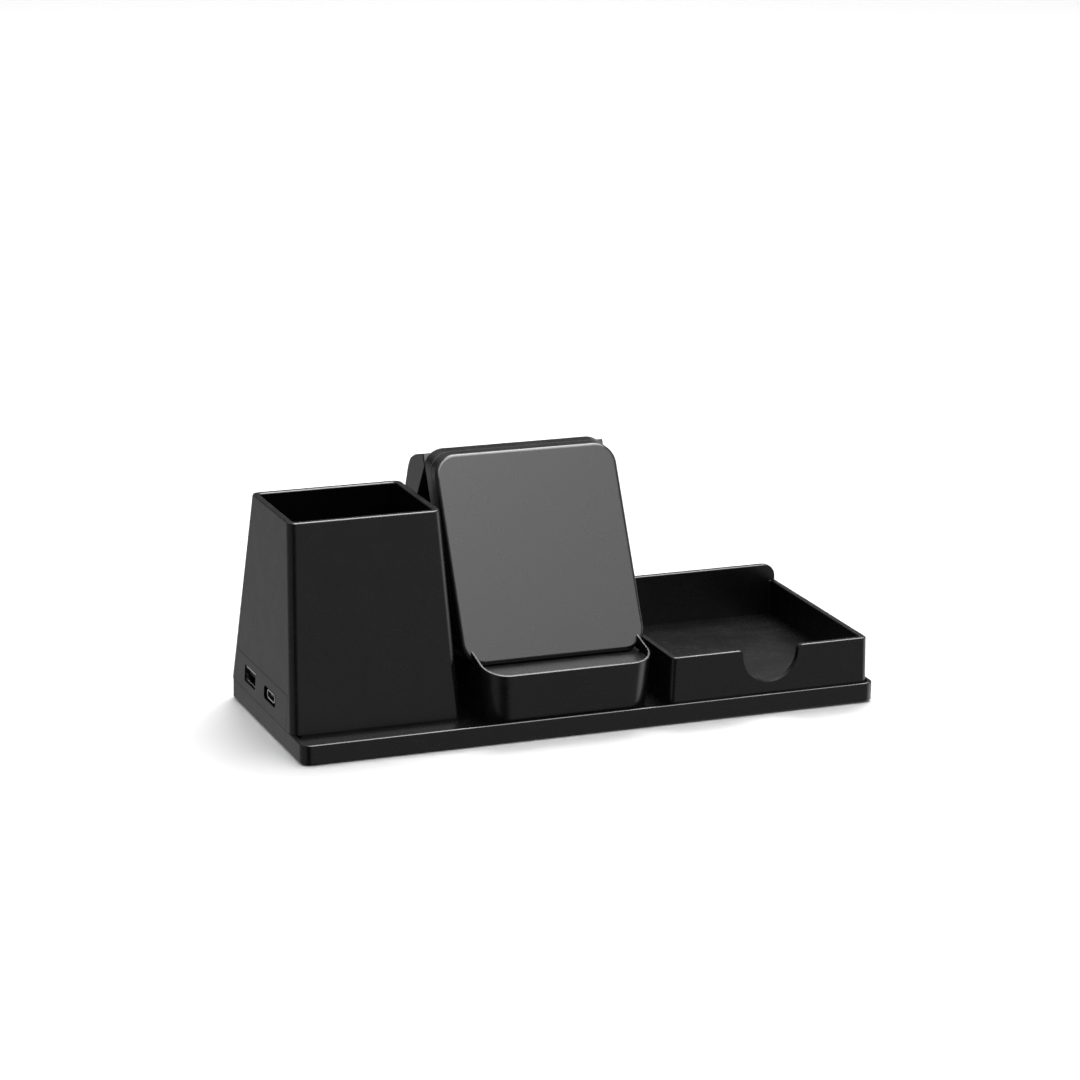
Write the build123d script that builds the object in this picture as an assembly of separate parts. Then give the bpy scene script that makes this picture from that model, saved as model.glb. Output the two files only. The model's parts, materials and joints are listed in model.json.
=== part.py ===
from build123d import *
import math
import os

os.makedirs("parts", exist_ok=True)

# Desk organiser with a pen cup, a leaning phone stand and a memo tray on one long base.
# X runs along the base, Y from its front to its back, Z up. The origin lies under the base's middle.

# Base tray and its bottom cover
base_length = 240.0
base_depth = 90.5
base_height = 8.3
base_corner_radius = 4.0
base_edge_round = 0.5
base_lower_chamfer = 0.6
rim_width = 1.6
rim_height = 1.2
deck_thickness = 2.0
skirt_wall = 2.0
foot_stand_off = 0.4
cover_thickness = 1.6
cover_corner_radius = 1.8
cover_gap = 0.2
foot_radius = 5.5
foot_recess = 0.6
foot_round = 0.3
foot_place_shares = (0.42, 0.36)
cover_boss_radius = 2.7
cover_screw_inset = 5.6
overrun = 1.0
fit_gap = 0.1

# Fasteners
screw_radius = 1.25
screw_head_radius = 2.3
screw_head_height = 1.5
socket_radius = 1.0
socket_depth = 0.8
thread_gap = 0.05
pass_gap = 0.2
point_gap = 0.6
boss_radius = 3.2
flat_screw_radius = 1.0
flat_screw_head_radius = 2.0
flat_screw_head_height = 1.0
cover_screw_length = 5.2

# Pen cup
cup_foot_length = 68.9
cup_setback = 12.8
cup_height = 87.3
cup_side_lean = 3.8
cup_end_lean = 15.0
cup_wall = 2.6
cup_corner_radius = 3.2
cup_inner_radius = 1.4
cup_edge_round = 0.6
bay_roof = 23.0
cup_floor_thickness = 2.2
cup_boss_inset_x = 9.0
cup_boss_inset_y = 10.0

# Port panel in the cup's left wall
panel_start = 19.8
panel_top = 22.1
panel_thickness = 1.6
panel_wrap = 4.2
panel_seam = 0.2
panel_lip = 1.6
port_height = 15.2

# Type A socket
a_from_back = 24.3
a_opening_width = 13.6
a_opening_height = 6.7
a_opening_radius = 0.5
a_shell_width = 13.1
a_shell_height = 5.7
a_shell_depth = 14.0
shell_wall = 0.35
shell_inset = 0.9
a_tongue_width = 11.0
a_tongue_height = 1.9
a_tongue_length = 8.4
a_tongue_raise = 0.75
a_block_depth = 4.4
contact_count = 4
contact_width = 1.0
contact_height = 0.2
contact_length = 6.5
contact_pitch = 2.5

# Type C socket
c_from_back = 49.3
c_opening_width = 14.3
c_opening_height = 5.3
c_opening_radius = 1.3
c_shell_width = 9.4
c_shell_height = 3.5
c_shell_depth = 8.6
c_shell_radius = 1.6
c_tongue_width = 6.8
c_tongue_height = 0.8
c_tongue_length = 4.6
c_block_depth = 3.2

# Port board and what it carries
board_thickness = 1.6
board_length = 36.0
board_width = 46.0
board_clear = 3.4
board_ahead = 8.6
board_corner = 1.0
board_screw_inset = 3.6
board_post_radius = 2.6
board_screw_length = 4.6
chip_side = 7.0
chip_height = 0.9
chip_from_right = 12.0
inductor_side = 10.0
inductor_height = 4.2
inductor_round = 1.6
can_radius = 3.1
can_height = 7.6
can_round = 0.5
can_count = 3
can_pitch = 8.0
plug_length = 6.0
plug_width = 7.0
plug_height = 4.6

# Ledge block under the phone
stand_from_left = 110.3
ledge_width = 70.4
ledge_setback = 1.2
ledge_lean = 1.2
ledge_top = 26.8
cheek_slope = 14.0
ledge_back = 50.0
ledge_front_radius = 9.7
ledge_back_radius = 2.5
ledge_wall = 2.2
ledge_rim = 0.8
ledge_edge_round = 0.35
trough_depth = 1.1
trough_round = 0.8
ledge_boss_inset = 9.0

# Leaning backrest. Its foot and its top are placed from the base's front and back, and give its lean.
backrest_top_setback = 33.9
backrest_foot = 17.8
backrest_width = 76.6
backrest_length = 84.6
backrest_thickness = 11.0
backrest_radius = 9.2
backrest_rear_radius = 7.8
backrest_split = 4.6
backrest_face = 1.8
backrest_wall = 2.0
front_edge_round = 1.5
back_edge_round = 0.8
seam_groove = 0.35
corner_screw_inset = 7.6
corner_post_radius = 2.8
backrest_screw_length = 7.4
foot_block_width = 7.0
foot_block_height = 10.0
foot_block_gap = 0.4
foot_screw_offset = 23.0
foot_screw_reach = 6.0
foot_screw_depth = 6.6

# Charging coil, its ferrite and carrier
coil_centre = 48.2
coil_outer_radius = 21.0
coil_inner_radius = 10.5
coil_height = 1.2
ferrite_side = 45.0
ferrite_height = 0.8
carrier_side = 47.0
carrier_height = 1.0
carrier_radius = 3.0
carrier_post_radius = 2.0
carrier_post_share = 0.36
carrier_back = 5.5

# Charger board
charger_length = 52.0
charger_width = 13.0
charger_start = 10.6
charger_thickness = 1.0
charger_back = 5.4
charger_post_radius = 1.8
charger_post_share = 0.42
charger_chip_side = 5.0
charger_chip_height = 0.9
charger_cap_length = 3.2
charger_cap_width = 2.5
charger_cap_height = 1.4
charger_cap_count = 4
charger_cap_pitch = 5.0
charger_plug_width = 6.0
charger_plug_length = 3.8
charger_plug_height = 3.4

# Link cable between the two boards
cable_radius = 1.1
cable_offset = -10.0
cable_hole_gap = 0.35
cable_depth = 4.7
cable_exit = 6.8
cable_slot_width = 6.6
cable_post_radius = 1.0
cable_post_gap = 0.15
bend_share = 0.45
clip_shares = (0.3, 0.72)

# Rear support behind the backrest
support_thickness = 11.7
support_setback = 2.2
support_heel_drop = 19.4
support_shoulder_drop = 10.6
support_bend_drop = 6.7
support_crown_drop = 4.3
support_front_drop = 1.7
support_shoulder_share = 0.166
support_bend_share = 0.29
support_crown_share = 0.553
support_round_share = 0.24
support_bearing = 4.6
support_throat_drop = 24.5
support_flare_top = 30.0
support_flare_foot = 17.8
support_foot_depth = 19.3
support_wall = 2.2
support_edge_round = 0.6
support_cavity_drop = 24.4
support_cavity_base = 13.0
support_cover_thickness = 1.8
support_cover_margin = 2.0
support_cover_gap = 0.15
support_cover_radius = 2.0
support_side_wall = 4.0
neck_width = 44.0
neck_top_drop = 10.9
neck_base_drop = 23.9
neck_root_drop = 30.9
neck_screw_offset = 12.0
neck_screw_inset = 9.4
neck_seat = 5.0
neck_screw_length = 9.5
support_screw_offset = 25.0
support_screw_inset = 4.5
support_boss_radius = 2.4
support_cover_screw_length = 4.0
cover_screw_edge = 5.0

# Memo tray
tray_left = 151.8
tray_width = 85.0
tray_lean = 0.6
tray_top = 26.9
tray_wall = 2.4
tray_corner_radius = 2.4
tray_inner_radius = 1.2
tray_edge_round = 0.5
tray_floor_top = 12.5
tray_floor_thickness = 2.2
tray_back_rise = 7.1
tray_back_radius = 5.5
notch_width = 24.0
notch_depth = 14.1
notch_lip_radius = 2.0
tray_boss_inset = 12.0

# Places worked out from the sizes above
base_left = -base_length / 2
base_right = base_length / 2
base_front = -base_depth / 2
base_back = base_depth / 2
deck_top = base_height - rim_height
deck_bottom = deck_top - deck_thickness
cover_top = foot_stand_off + cover_thickness
stand_x = base_left + stand_from_left
rim_inner_back = base_back - rim_width - fit_gap
support_rear = base_back - support_setback
cup_floor = bay_roof + cup_floor_thickness
cup_right = base_left + cup_foot_length
panel_front = base_front + panel_start
a_y = base_back - a_from_back
c_y = base_back - c_from_back
board_top = port_height - a_shell_height / 2
board_bottom = board_top - board_thickness
board_left = base_left + board_clear
board_right = board_left + board_length
board_y = base_back - a_from_back - board_width / 2 + board_ahead
trough_floor = ledge_top - trough_depth
lean = math.asin((base_depth - backrest_foot - backrest_top_setback) / backrest_length)
level_rise = math.tan(lean)
stand_top = trough_floor + backrest_length * math.cos(lean)
support_cavity_top = stand_top - support_cavity_drop
backrest_plane = Plane(
    origin=(stand_x, base_front + backrest_foot, trough_floor),
    x_dir=(1, 0, 0),
    z_dir=(0, -math.cos(lean), math.sin(lean)),
)
slope = math.radians(cheek_slope)
cheek_plane = Plane(
    origin=(stand_x, base_front + ledge_setback, ledge_top),
    x_dir=(1, 0, 0),
    z_dir=(0, -math.sin(slope), math.cos(slope)),
)
back_pocket = backrest_thickness - backrest_face
carrier_front = carrier_back - carrier_height
charger_front = charger_back - charger_thickness
low_align = (Align.CENTER, Align.CENTER, Align.MIN)
high_align = (Align.CENTER, Align.CENTER, Align.MAX)


def block(x_low, x_high, y_low, y_high, z_low, z_high):
    """A plain box between two corners."""
    middle = ((x_low + x_high) / 2, (y_low + y_high) / 2, z_low)
    return Pos(*middle) * Box(x_high - x_low, y_high - y_low, z_high - z_low, align=low_align)


def rounded_block(x_low, x_high, y_low, y_high, z_low, z_high, radius):
    """A box with rounded upright edges."""
    outline = RectangleRounded(x_high - x_low, y_high - y_low, radius)
    middle = ((x_low + x_high) / 2, (y_low + y_high) / 2, z_low)
    return Pos(*middle) * extrude(outline, z_high - z_low)


def rod(radius, x, y, z_low, z_high):
    """An upright cylinder."""
    return Pos(x, y, z_low) * Cylinder(radius, z_high - z_low, align=low_align)


def corners(x_low, x_high, y_low, y_high):
    """The four corner places of a rectangle."""
    return [(x, y) for x in (x_low, x_high) for y in (y_low, y_high)]


def pan_screw(length):
    """A screw that points up, with its head under the origin and a hexagon socket."""
    head = Cylinder(screw_head_radius, screw_head_height, align=high_align)
    shank = Cylinder(screw_radius, length, align=low_align)
    socket = extrude(RegularPolygon(socket_radius, 6), socket_depth)
    return head + shank - Pos(0, 0, -screw_head_height) * socket


def flat_screw(length):
    """A countersunk screw that points up, with its flat head at the origin."""
    head = Cone(flat_screw_head_radius, flat_screw_radius, flat_screw_head_height, align=low_align)
    shank = Cylinder(flat_screw_radius, length, align=low_align)
    socket = extrude(RegularPolygon(flat_screw_radius, 6), flat_screw_head_height / 2)
    return head + shank - socket


def flat_screw_hole(length):
    """The countersunk hole for a flat screw, open under the origin."""
    sink = Cone(flat_screw_head_radius, flat_screw_radius, flat_screw_head_height, align=low_align)
    bore = Cylinder(flat_screw_radius + thread_gap, length, align=low_align)
    return sink + bore


def deck_screw_places():
    """Where screws pass up through the deck, by the piece that they hold."""
    cup = corners(
        base_left + cup_boss_inset_x, cup_right - cup_boss_inset_x,
        base_front + cup_setback + cup_boss_inset_y, base_back - cup_boss_inset_y,
    )
    half = ledge_width / 2 - ledge_boss_inset
    ledge = corners(
        stand_x - half, stand_x + half,
        base_front + ledge_setback + ledge_boss_inset, base_front + ledge_back - ledge_boss_inset,
    )
    tray = corners(
        base_left + tray_left + tray_boss_inset, base_left + tray_left + tray_width - tray_boss_inset,
        base_front + rim_width + tray_boss_inset, rim_inner_back - tray_boss_inset,
    )
    support_y = support_rear - support_foot_depth + support_screw_inset
    support = [(stand_x + side * support_screw_offset, support_y) for side in (-1, 1)]
    return {"cup": cup, "ledge": ledge, "tray": tray, "support": support}


def cover_screw_places():
    """Where the bottom cover is screwed on: the corners and the middle of the long sides."""
    x_far = base_right - cover_screw_inset
    y_far = base_back - cover_screw_inset
    return [(x, y) for x in (-x_far, 0, x_far) for y in (-y_far, y_far)]


def foot_places():
    """The four rubber feet."""
    x_far = foot_place_shares[0] * base_length
    y_far = foot_place_shares[1] * base_depth
    return corners(-x_far, x_far, -y_far, y_far)


def board_screw_places():
    """The port board's two screws, on its right-hand corners."""
    x = board_right - board_screw_inset
    half = board_width / 2 - board_screw_inset
    return [(x, board_y - half), (x, board_y + half)]


def board_post_places():
    """The port board's four posts."""
    x = board_left + board_screw_inset
    half = board_width / 2 - board_screw_inset
    return [(x, board_y - half), (x, board_y + half)] + board_screw_places()


def cable_route():
    """The link cable's corner points, from the backrest down under the deck and up into the bay."""
    run_z = (cover_top + deck_bottom) / 2
    start = backrest_plane.from_local_coords(Vector(cable_offset, charger_start - charger_plug_length, -cable_depth))
    below = backrest_plane.from_local_coords(Vector(cable_offset, -cable_exit, -cable_depth))
    x = stand_x + cable_offset
    plug_z = board_top + plug_height / 2
    plug_y = board_y - plug_width
    drop = below.Z - deck_top
    return [
        start,
        below,
        Vector(x - drop / 3, below.Y - cable_slot_width / 4, deck_top + drop / 3),
        Vector(x - drop * 4 / 3, below.Y + cable_slot_width / 4, run_z),
        Vector(cup_right - cup_wall - cable_slot_width / 2, plug_y - cable_radius, run_z),
        Vector(board_right + 2 * plug_length, plug_y, plug_z),
        Vector(board_right, plug_y, plug_z),
    ]


def bend_radii(points):
    """The largest bend at each corner that its two runs leave room for."""
    radii = []
    for before, corner, after in zip(points, points[1:], points[2:]):
        first = corner - before
        second = after - corner
        turn = math.radians(first.get_angle(second))
        radii.append(bend_share * min(first.length, second.length) / math.tan(turn / 2))
    return radii


def cable_slots():
    """The two long holes in the deck that the cable passes through."""
    points = cable_route()
    x_stand_low = points[3].X - cable_slot_width
    x_stand_high = points[2].X + 2 * cable_radius
    x_bay_low = points[5].X
    x_bay_high = cup_right
    cuts = []
    for x_low, x_high, y in (
        (x_stand_low, x_stand_high, (points[2].Y + points[3].Y) / 2),
        (x_bay_low, x_bay_high, points[4].Y),
    ):
        half = cable_slot_width / 2
        cuts.append(rounded_block(x_low, x_high, y - half, y + half,
                                  deck_bottom - overrun, deck_top + overrun, half - fit_gap))
    return cuts


def cable_posts():
    """Pairs of posts under the deck that hold the cable's long run."""
    points = cable_route()
    run = points[4] - points[3]
    aside = Vector(-run.Y, run.X, 0).normalized() * (cable_radius + cable_post_gap + cable_post_radius)
    posts = []
    for share in clip_shares:
        for side in (-1, 1):
            place = points[3] + run * share + aside * side
            posts.append(rod(cable_post_radius, place.X, place.Y, cover_top, deck_bottom + overrun))
    return posts


def make_base_tray():
    """The long base: a deck inside a low rim, with a skirt and bosses underneath."""
    shell = rounded_block(base_left, base_right, base_front, base_back,
                          foot_stand_off, base_height, base_corner_radius)
    shell = fillet(shell.faces().sort_by(Axis.Z)[-1].edges(), base_edge_round)
    shell = chamfer(shell.faces().sort_by(Axis.Z)[0].edges(), base_lower_chamfer)
    shell -= rounded_block(base_left + rim_width, base_right - rim_width,
                           base_front + rim_width, base_back - rim_width,
                           deck_top, base_height + overrun, base_corner_radius - rim_width)
    shell -= rounded_block(base_left + skirt_wall, base_right - skirt_wall,
                           base_front + skirt_wall, base_back - skirt_wall,
                           foot_stand_off - overrun, deck_bottom, base_corner_radius - skirt_wall)
    for x, y in cover_screw_places():
        shell += rod(cover_boss_radius, x, y, cover_top, deck_bottom + overrun)
    for post in cable_posts():
        shell += post
    for x, y in board_post_places():
        shell += rod(board_post_radius, x, y, deck_top - overrun, board_bottom)
    for slot in cable_slots():
        shell -= slot
    for x, y in cover_screw_places():
        shell -= rod(flat_screw_radius + thread_gap, x, y,
                     foot_stand_off, foot_stand_off + cover_screw_length + fit_gap)
    for x, y in board_screw_places():
        shell -= rod(screw_radius + thread_gap, x, y, board_top - board_screw_length - fit_gap, board_top)
    for places in deck_screw_places().values():
        for x, y in places:
            shell -= rod(screw_radius + pass_gap, x, y, deck_bottom - overrun, deck_top + overrun)
    return shell


def make_bottom_cover():
    """The plate that closes the base from below, with recesses for the feet."""
    edge = skirt_wall + cover_gap
    plate = rounded_block(base_left + edge, base_right - edge, base_front + edge, base_back - edge,
                          foot_stand_off, cover_top, cover_corner_radius)
    for x, y in cover_screw_places():
        plate -= Pos(x, y, foot_stand_off) * flat_screw_hole(cover_thickness + overrun)
    for x, y in foot_places():
        plate -= rod(foot_radius + fit_gap, x, y, foot_stand_off - overrun, foot_stand_off + foot_recess)
    return plate


def make_cover_screws():
    return Compound([Pos(x, y, foot_stand_off) * flat_screw(cover_screw_length) for x, y in cover_screw_places()])


def make_rubber_feet():
    """Round rubber feet, glued into the cover's recesses."""
    feet = []
    for x, y in foot_places():
        foot = rod(foot_radius, x, y, 0, foot_stand_off + foot_recess)
        feet.append(fillet(foot.faces().sort_by(Axis.Z)[0].edges(), foot_round))
    return Compound(feet)


def cup_section(height, inset, radius):
    """The cup's outline at a height, drawn in by an inset."""
    share = (height - base_height) / (cup_height - base_height)
    x_low = base_left + cup_side_lean * share + inset
    x_high = cup_right - cup_side_lean * share - inset
    y_low = base_front + cup_setback + cup_end_lean * share + inset
    y_high = base_back - cup_end_lean * share - inset
    middle = ((x_low + x_high) / 2, (y_low + y_high) / 2, height)
    return Pos(*middle) * RectangleRounded(x_high - x_low, y_high - y_low, radius)


def cup_body(low, high, inset, radius):
    """The solid between two of the cup's outlines."""
    return loft([cup_section(low, inset, radius), cup_section(high, inset, radius)], ruled=True)


def panel_zone(gap):
    """The part of the cup's left wall that the port panel takes."""
    return block(base_left - overrun, base_left + panel_wrap - gap, panel_front + gap, base_back + overrun,
                 base_height, panel_top - gap)


def port_cuts(depth):
    """The two socket openings, from outside the panel to a depth."""
    outlines = (
        (a_y, a_opening_width, a_opening_height, a_opening_radius),
        (c_y, c_opening_width, c_opening_height, c_opening_radius),
    )
    cuts = []
    for y, width, height, radius in outlines:
        plane = Plane(origin=(base_left - overrun, y, port_height), x_dir=(0, 1, 0), z_dir=(1, 0, 0))
        cuts.append(extrude(plane * RectangleRounded(width, height, radius), depth + overrun))
    return cuts


def make_pen_cup():
    """The pen cup: a tapering shell with a raised floor and an electronics bay below it."""
    cup = cup_body(base_height, cup_height, 0, cup_corner_radius)
    cup -= cup_body(cup_floor, cup_height + overrun, cup_wall, cup_inner_radius)
    cup = fillet(cup.faces().sort_by(Axis.Z)[-1].edges(), cup_edge_round)
    inner_left = base_left + rim_width + fit_gap
    cup += rounded_block(inner_left, cup_right, base_front + cup_setback, rim_inner_back,
                         deck_top, base_height, base_corner_radius - rim_width)
    bay = cup_body(deck_top - overrun, bay_roof, cup_wall, cup_inner_radius)
    for x, y in deck_screw_places()["cup"]:
        bay -= rod(boss_radius, x, y, deck_top - overrun, bay_roof)
    cup -= bay
    cup -= panel_zone(0) - cup_body(deck_top, bay_roof, panel_thickness, cup_corner_radius)
    lip = panel_lip
    cup -= block(base_left, base_left + cup_wall + panel_wrap, panel_front + lip, base_back - panel_wrap - lip,
                 base_height + lip, panel_top - lip)
    for x, y in deck_screw_places()["cup"]:
        cup -= rod(screw_radius + thread_gap, x, y, deck_top - overrun, bay_roof - cup_floor_thickness)
    return cup


def make_port_panel():
    """The flush cover in the cup's left wall, with the two socket openings."""
    panel = cup_body(base_height, cup_height, 0, cup_corner_radius) & panel_zone(panel_seam)
    panel -= cup_body(deck_top, bay_roof, panel_thickness, cup_corner_radius)
    for cut in port_cuts(panel_wrap):
        panel -= cut
    return panel


def socket_shell(y, width, height, depth, radius):
    """A thin metal socket shell, open towards the left."""
    plane = Plane(origin=(base_left + shell_inset, y, port_height), x_dir=(0, 1, 0), z_dir=(1, 0, 0))
    outer = extrude(plane * RectangleRounded(width, height, radius), depth)
    twice = 2 * shell_wall
    hollow = RectangleRounded(width - twice, height - twice, radius - shell_wall)
    return outer - extrude(plane * hollow, depth)


def make_usb_a_shell():
    return socket_shell(a_y, a_shell_width, a_shell_height, a_shell_depth, a_opening_radius)


def make_usb_a_tongue():
    """The type A insulator: a block at the rear of the shell and the tongue in its upper half."""
    back = base_left + shell_inset + a_shell_depth
    half = a_shell_width / 2 - shell_wall - thread_gap
    rise = a_shell_height / 2 - shell_wall - thread_gap
    insulator = block(back - a_block_depth, back, a_y - half, a_y + half, port_height - rise, port_height + rise)
    tongue_z = port_height + a_tongue_raise
    insulator += block(back - a_block_depth - a_tongue_length, back - a_block_depth,
                       a_y - a_tongue_width / 2, a_y + a_tongue_width / 2,
                       tongue_z - a_tongue_height / 2, tongue_z + a_tongue_height / 2)
    return insulator


def make_usb_a_contacts():
    """Four flat contacts under the type A tongue."""
    back = base_left + shell_inset + a_shell_depth - a_block_depth
    under = port_height + a_tongue_raise - a_tongue_height / 2
    strips = []
    for index in range(contact_count):
        y = a_y + (index - (contact_count - 1) / 2) * contact_pitch
        strips.append(block(back - contact_length, back, y - contact_width / 2, y + contact_width / 2,
                            under - contact_height, under))
    return Compound(strips)


def make_usb_c_shell():
    return socket_shell(c_y, c_shell_width, c_shell_height, c_shell_depth, c_shell_radius)


def make_usb_c_tongue():
    """The type C insulator: a rear block and the thin tongue in the middle."""
    back = base_left + shell_inset + c_shell_depth
    width = c_shell_width - 2 * (shell_wall + thread_gap)
    height = c_shell_height - 2 * (shell_wall + thread_gap)
    plane = Plane(origin=(back - c_block_depth, c_y, port_height), x_dir=(0, 1, 0), z_dir=(1, 0, 0))
    insulator = extrude(plane * RectangleRounded(width, height, height / 2 - thread_gap), c_block_depth)
    insulator += block(back - c_block_depth - c_tongue_length, back - c_block_depth,
                       c_y - c_tongue_width / 2, c_y + c_tongue_width / 2,
                       port_height - c_tongue_height / 2, port_height + c_tongue_height / 2)
    return insulator


def make_usb_c_riser():
    """The spacer that lifts the type C socket to the middle of its opening."""
    left = board_left
    right = base_left + shell_inset + c_shell_depth
    half = c_shell_width / 2 - c_shell_radius
    return block(left, right, c_y - half, c_y + half, board_top, port_height - c_shell_height / 2)


def make_port_board():
    """The circuit board that carries both sockets."""
    board = rounded_block(board_left, board_right, board_y - board_width / 2, board_y + board_width / 2,
                          board_bottom, board_top, board_corner)
    for x, y in board_screw_places():
        board -= rod(screw_radius + pass_gap, x, y, board_bottom - overrun, board_top + overrun)
    return board


def make_board_screws():
    """Two screws that hold the port board, heads up."""
    turn = Rot(180, 0, 0)
    return Compound([Pos(x, y, board_top) * turn * pan_screw(board_screw_length) for x, y in board_screw_places()])


def make_controller_chip():
    x = board_right - chip_from_right
    half = chip_side / 2
    return block(x - half, x + half, board_y - half, board_y + half, board_top, board_top + chip_height)


def make_power_inductor():
    """A moulded choke with rounded upright edges."""
    x = board_right - chip_from_right
    y = board_y + chip_side + inductor_side / 2
    half = inductor_side / 2
    return rounded_block(x - half, x + half, y - half, y + half, board_top, board_top + inductor_height,
                         inductor_round)


def make_capacitors():
    """A row of upright can capacitors on the board."""
    x = board_right - chip_from_right - chip_side / 2 - can_radius - can_round
    cans = []
    for index in range(can_count):
        y = board_y + (index + 1 - can_count) * can_pitch
        can = rod(can_radius, x, y, board_top, board_top + can_height)
        cans.append(fillet(can.faces().sort_by(Axis.Z)[-1].edges(), can_round))
    return Compound(cans)


def make_board_plug():
    """The plug and header where the link cable meets the port board."""
    end = cable_route()[-1]
    half = plug_width / 2
    return block(end.X - plug_length, end.X, end.Y - half, end.Y + half, board_top, board_top + plug_height)


def ledge_section(height):
    """The ledge block's outline at a height, with larger corners at the front."""
    share = (ledge_top - height) / (ledge_top - deck_top)
    half = ledge_width / 2 - ledge_lean * share
    y_low = base_front + ledge_setback + ledge_lean * share
    y_high = base_front + ledge_back
    outline = Rectangle(2 * half, y_high - y_low)
    front = outline.vertices().sort_by(Axis.Y)[:2]
    outline = fillet(front, ledge_front_radius)
    rear = outline.vertices().sort_by(Axis.Y)[-2:]
    outline = fillet(rear, ledge_back_radius)
    return Pos(stand_x, (y_low + y_high) / 2, height) * outline


def backrest_box(x_half, y_low, y_high, z_low, z_high):
    """A box in the backrest's own axes: across, up along its face, and out of its face."""
    box = Pos(0, (y_low + y_high) / 2, z_low) * Box(2 * x_half, y_high - y_low, z_high - z_low, align=low_align)
    return backrest_plane.location * box


def foot_screw_places():
    """Where two upright screws hold the backrest's foot to the ledge."""
    y = base_front + backrest_foot + foot_screw_depth / math.cos(lean)
    return [(stand_x + side * foot_screw_offset, y) for side in (-1, 1)]


def foot_screw_bores():
    """The holes in the backrest's foot for the screws from the ledge."""
    top = trough_floor + foot_screw_reach
    return [rod(screw_radius + thread_gap, x, y, trough_floor - overrun, top) for x, y in foot_screw_places()]


def cable_hole(high):
    """The cable's way up through the ledge's floor and into the backrest's foot."""
    start = backrest_plane.from_local_coords(Vector(cable_offset, -cable_exit, -cable_depth))
    plane = Plane(origin=start, x_dir=(1, 0, 0), z_dir=(0, math.sin(lean), math.cos(lean)))
    bore = Cylinder(cable_radius + cable_hole_gap, high + cable_exit, align=low_align)
    return plane.location * bore


def ledge_outside():
    """The ledge's outer form: a tapering block whose rim rises towards the back, level behind the backrest."""
    level = loft([ledge_section(deck_top), ledge_section(ledge_top)], ruled=True)
    rising = level + extrude(ledge_section(ledge_top), ledge_back)
    rising -= cheek_plane.location * Box(base_length, base_length, base_length, align=low_align)
    rim = rising.faces().sort_by(lambda face: face.normal_at().dot(cheek_plane.z_dir))[-1]
    rising = fillet(rim.edges(), ledge_edge_round)
    level = fillet(level.faces().sort_by(Axis.Z)[-1].edges(), ledge_edge_round)
    behind = backrest_box(base_length, -base_length, base_length, -base_length, 0)
    return (rising - behind) + (level & behind)


def ledge_trough():
    """The space between the cheeks, from the thin front rim back to the backrest."""
    rim_half = ledge_width / 2 - ledge_rim
    trough = rounded_block(stand_x - rim_half, stand_x + rim_half, base_front + ledge_setback + ledge_rim,
                           base_front + ledge_back, trough_floor, base_length, ledge_front_radius - ledge_rim)
    trough = fillet(trough.faces().sort_by(Axis.Z)[0].edges(), trough_round)
    return trough & backrest_box(base_length, -ledge_top, base_length, -backrest_split, base_length)


def make_ledge_block():
    """The ledge: a hollow block with a shallow trough, cut for the leaning backrest."""
    outer = ledge_outside()
    front = base_front + ledge_setback
    hollow_half = ledge_width / 2 - ledge_lean - ledge_wall
    hollow = rounded_block(stand_x - hollow_half, stand_x + hollow_half, front + ledge_lean + ledge_wall,
                           base_front + ledge_back - ledge_wall, deck_top - overrun, trough_floor - ledge_wall,
                           ledge_front_radius - ledge_wall)
    for x, y in deck_screw_places()["ledge"]:
        hollow -= rod(boss_radius, x, y, deck_top - overrun, ledge_top)
    body = outer - ledge_trough() - hollow
    seat = backrest_box(base_length, -base_length, base_length, -backrest_thickness - fit_gap, fit_gap)
    body -= seat & block(base_left, base_right, base_front, base_back, trough_floor, base_length)
    for x, y in foot_screw_places():
        body -= rod(screw_radius + pass_gap, x, y, trough_floor - ledge_wall - overrun, trough_floor + overrun)
    body -= cable_hole(backrest_thickness)
    for x, y in deck_screw_places()["ledge"]:
        body -= rod(screw_radius + thread_gap, x, y, deck_top - overrun, deck_top + ledge_boss_inset)
    return body


def backrest_outline(inset, depth):
    """The backrest's outline at a depth behind its face, drawn in by an inset. Its ends are level."""
    radius = backrest_radius + (backrest_rear_radius - backrest_radius) * depth / backrest_thickness
    outline = RectangleRounded(backrest_width - 2 * inset, backrest_length - 2 * inset, radius - inset)
    return Pos(0, backrest_length / 2 + depth * level_rise, -depth) * outline


def backrest_plate(inset, near, far):
    """The solid between two depths of the backrest, in its own axes."""
    return loft([backrest_outline(inset, far), backrest_outline(inset, near)], ruled=True)


def corner_post_places():
    """The four screw posts near the backrest's corners."""
    half = backrest_width / 2 - corner_screw_inset
    low = corner_screw_inset + backrest_thickness * level_rise
    return corners(-half, half, low, backrest_length - corner_screw_inset)


def foot_blocks():
    """The blocks in the back shell that take the foot screws."""
    blocks = []
    for side in (-1, 1):
        x = side * foot_screw_offset
        half = foot_block_width / 2
        blocks.append(block(x - half, x + half, 0, foot_block_height, -back_pocket, -backrest_face - foot_block_gap))
    return blocks


def finish_shell(shell):
    """Puts a half of the backrest in place, with the holes in its foot."""
    placed = backrest_plane.location * shell
    for bore in foot_screw_bores():
        placed -= bore
    return placed - cable_hole(charger_start)


def make_backrest_front():
    """The backrest's front shell, which the phone leans on."""
    shell = backrest_plate(0, 0, backrest_split)
    shell = fillet(shell.faces().sort_by(Axis.Z)[-1].edges(), front_edge_round)
    pocket = backrest_plate(backrest_wall, backrest_face, backrest_split + overrun)
    for x, y in corner_post_places():
        pocket -= rod(corner_post_radius, x, y, -backrest_split, 0)
    shell -= pocket
    for x, y in corner_post_places():
        shell -= rod(flat_screw_radius + thread_gap, x, y, -backrest_split - overrun,
                     backrest_screw_length + fit_gap - backrest_thickness)
    return finish_shell(shell)


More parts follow.
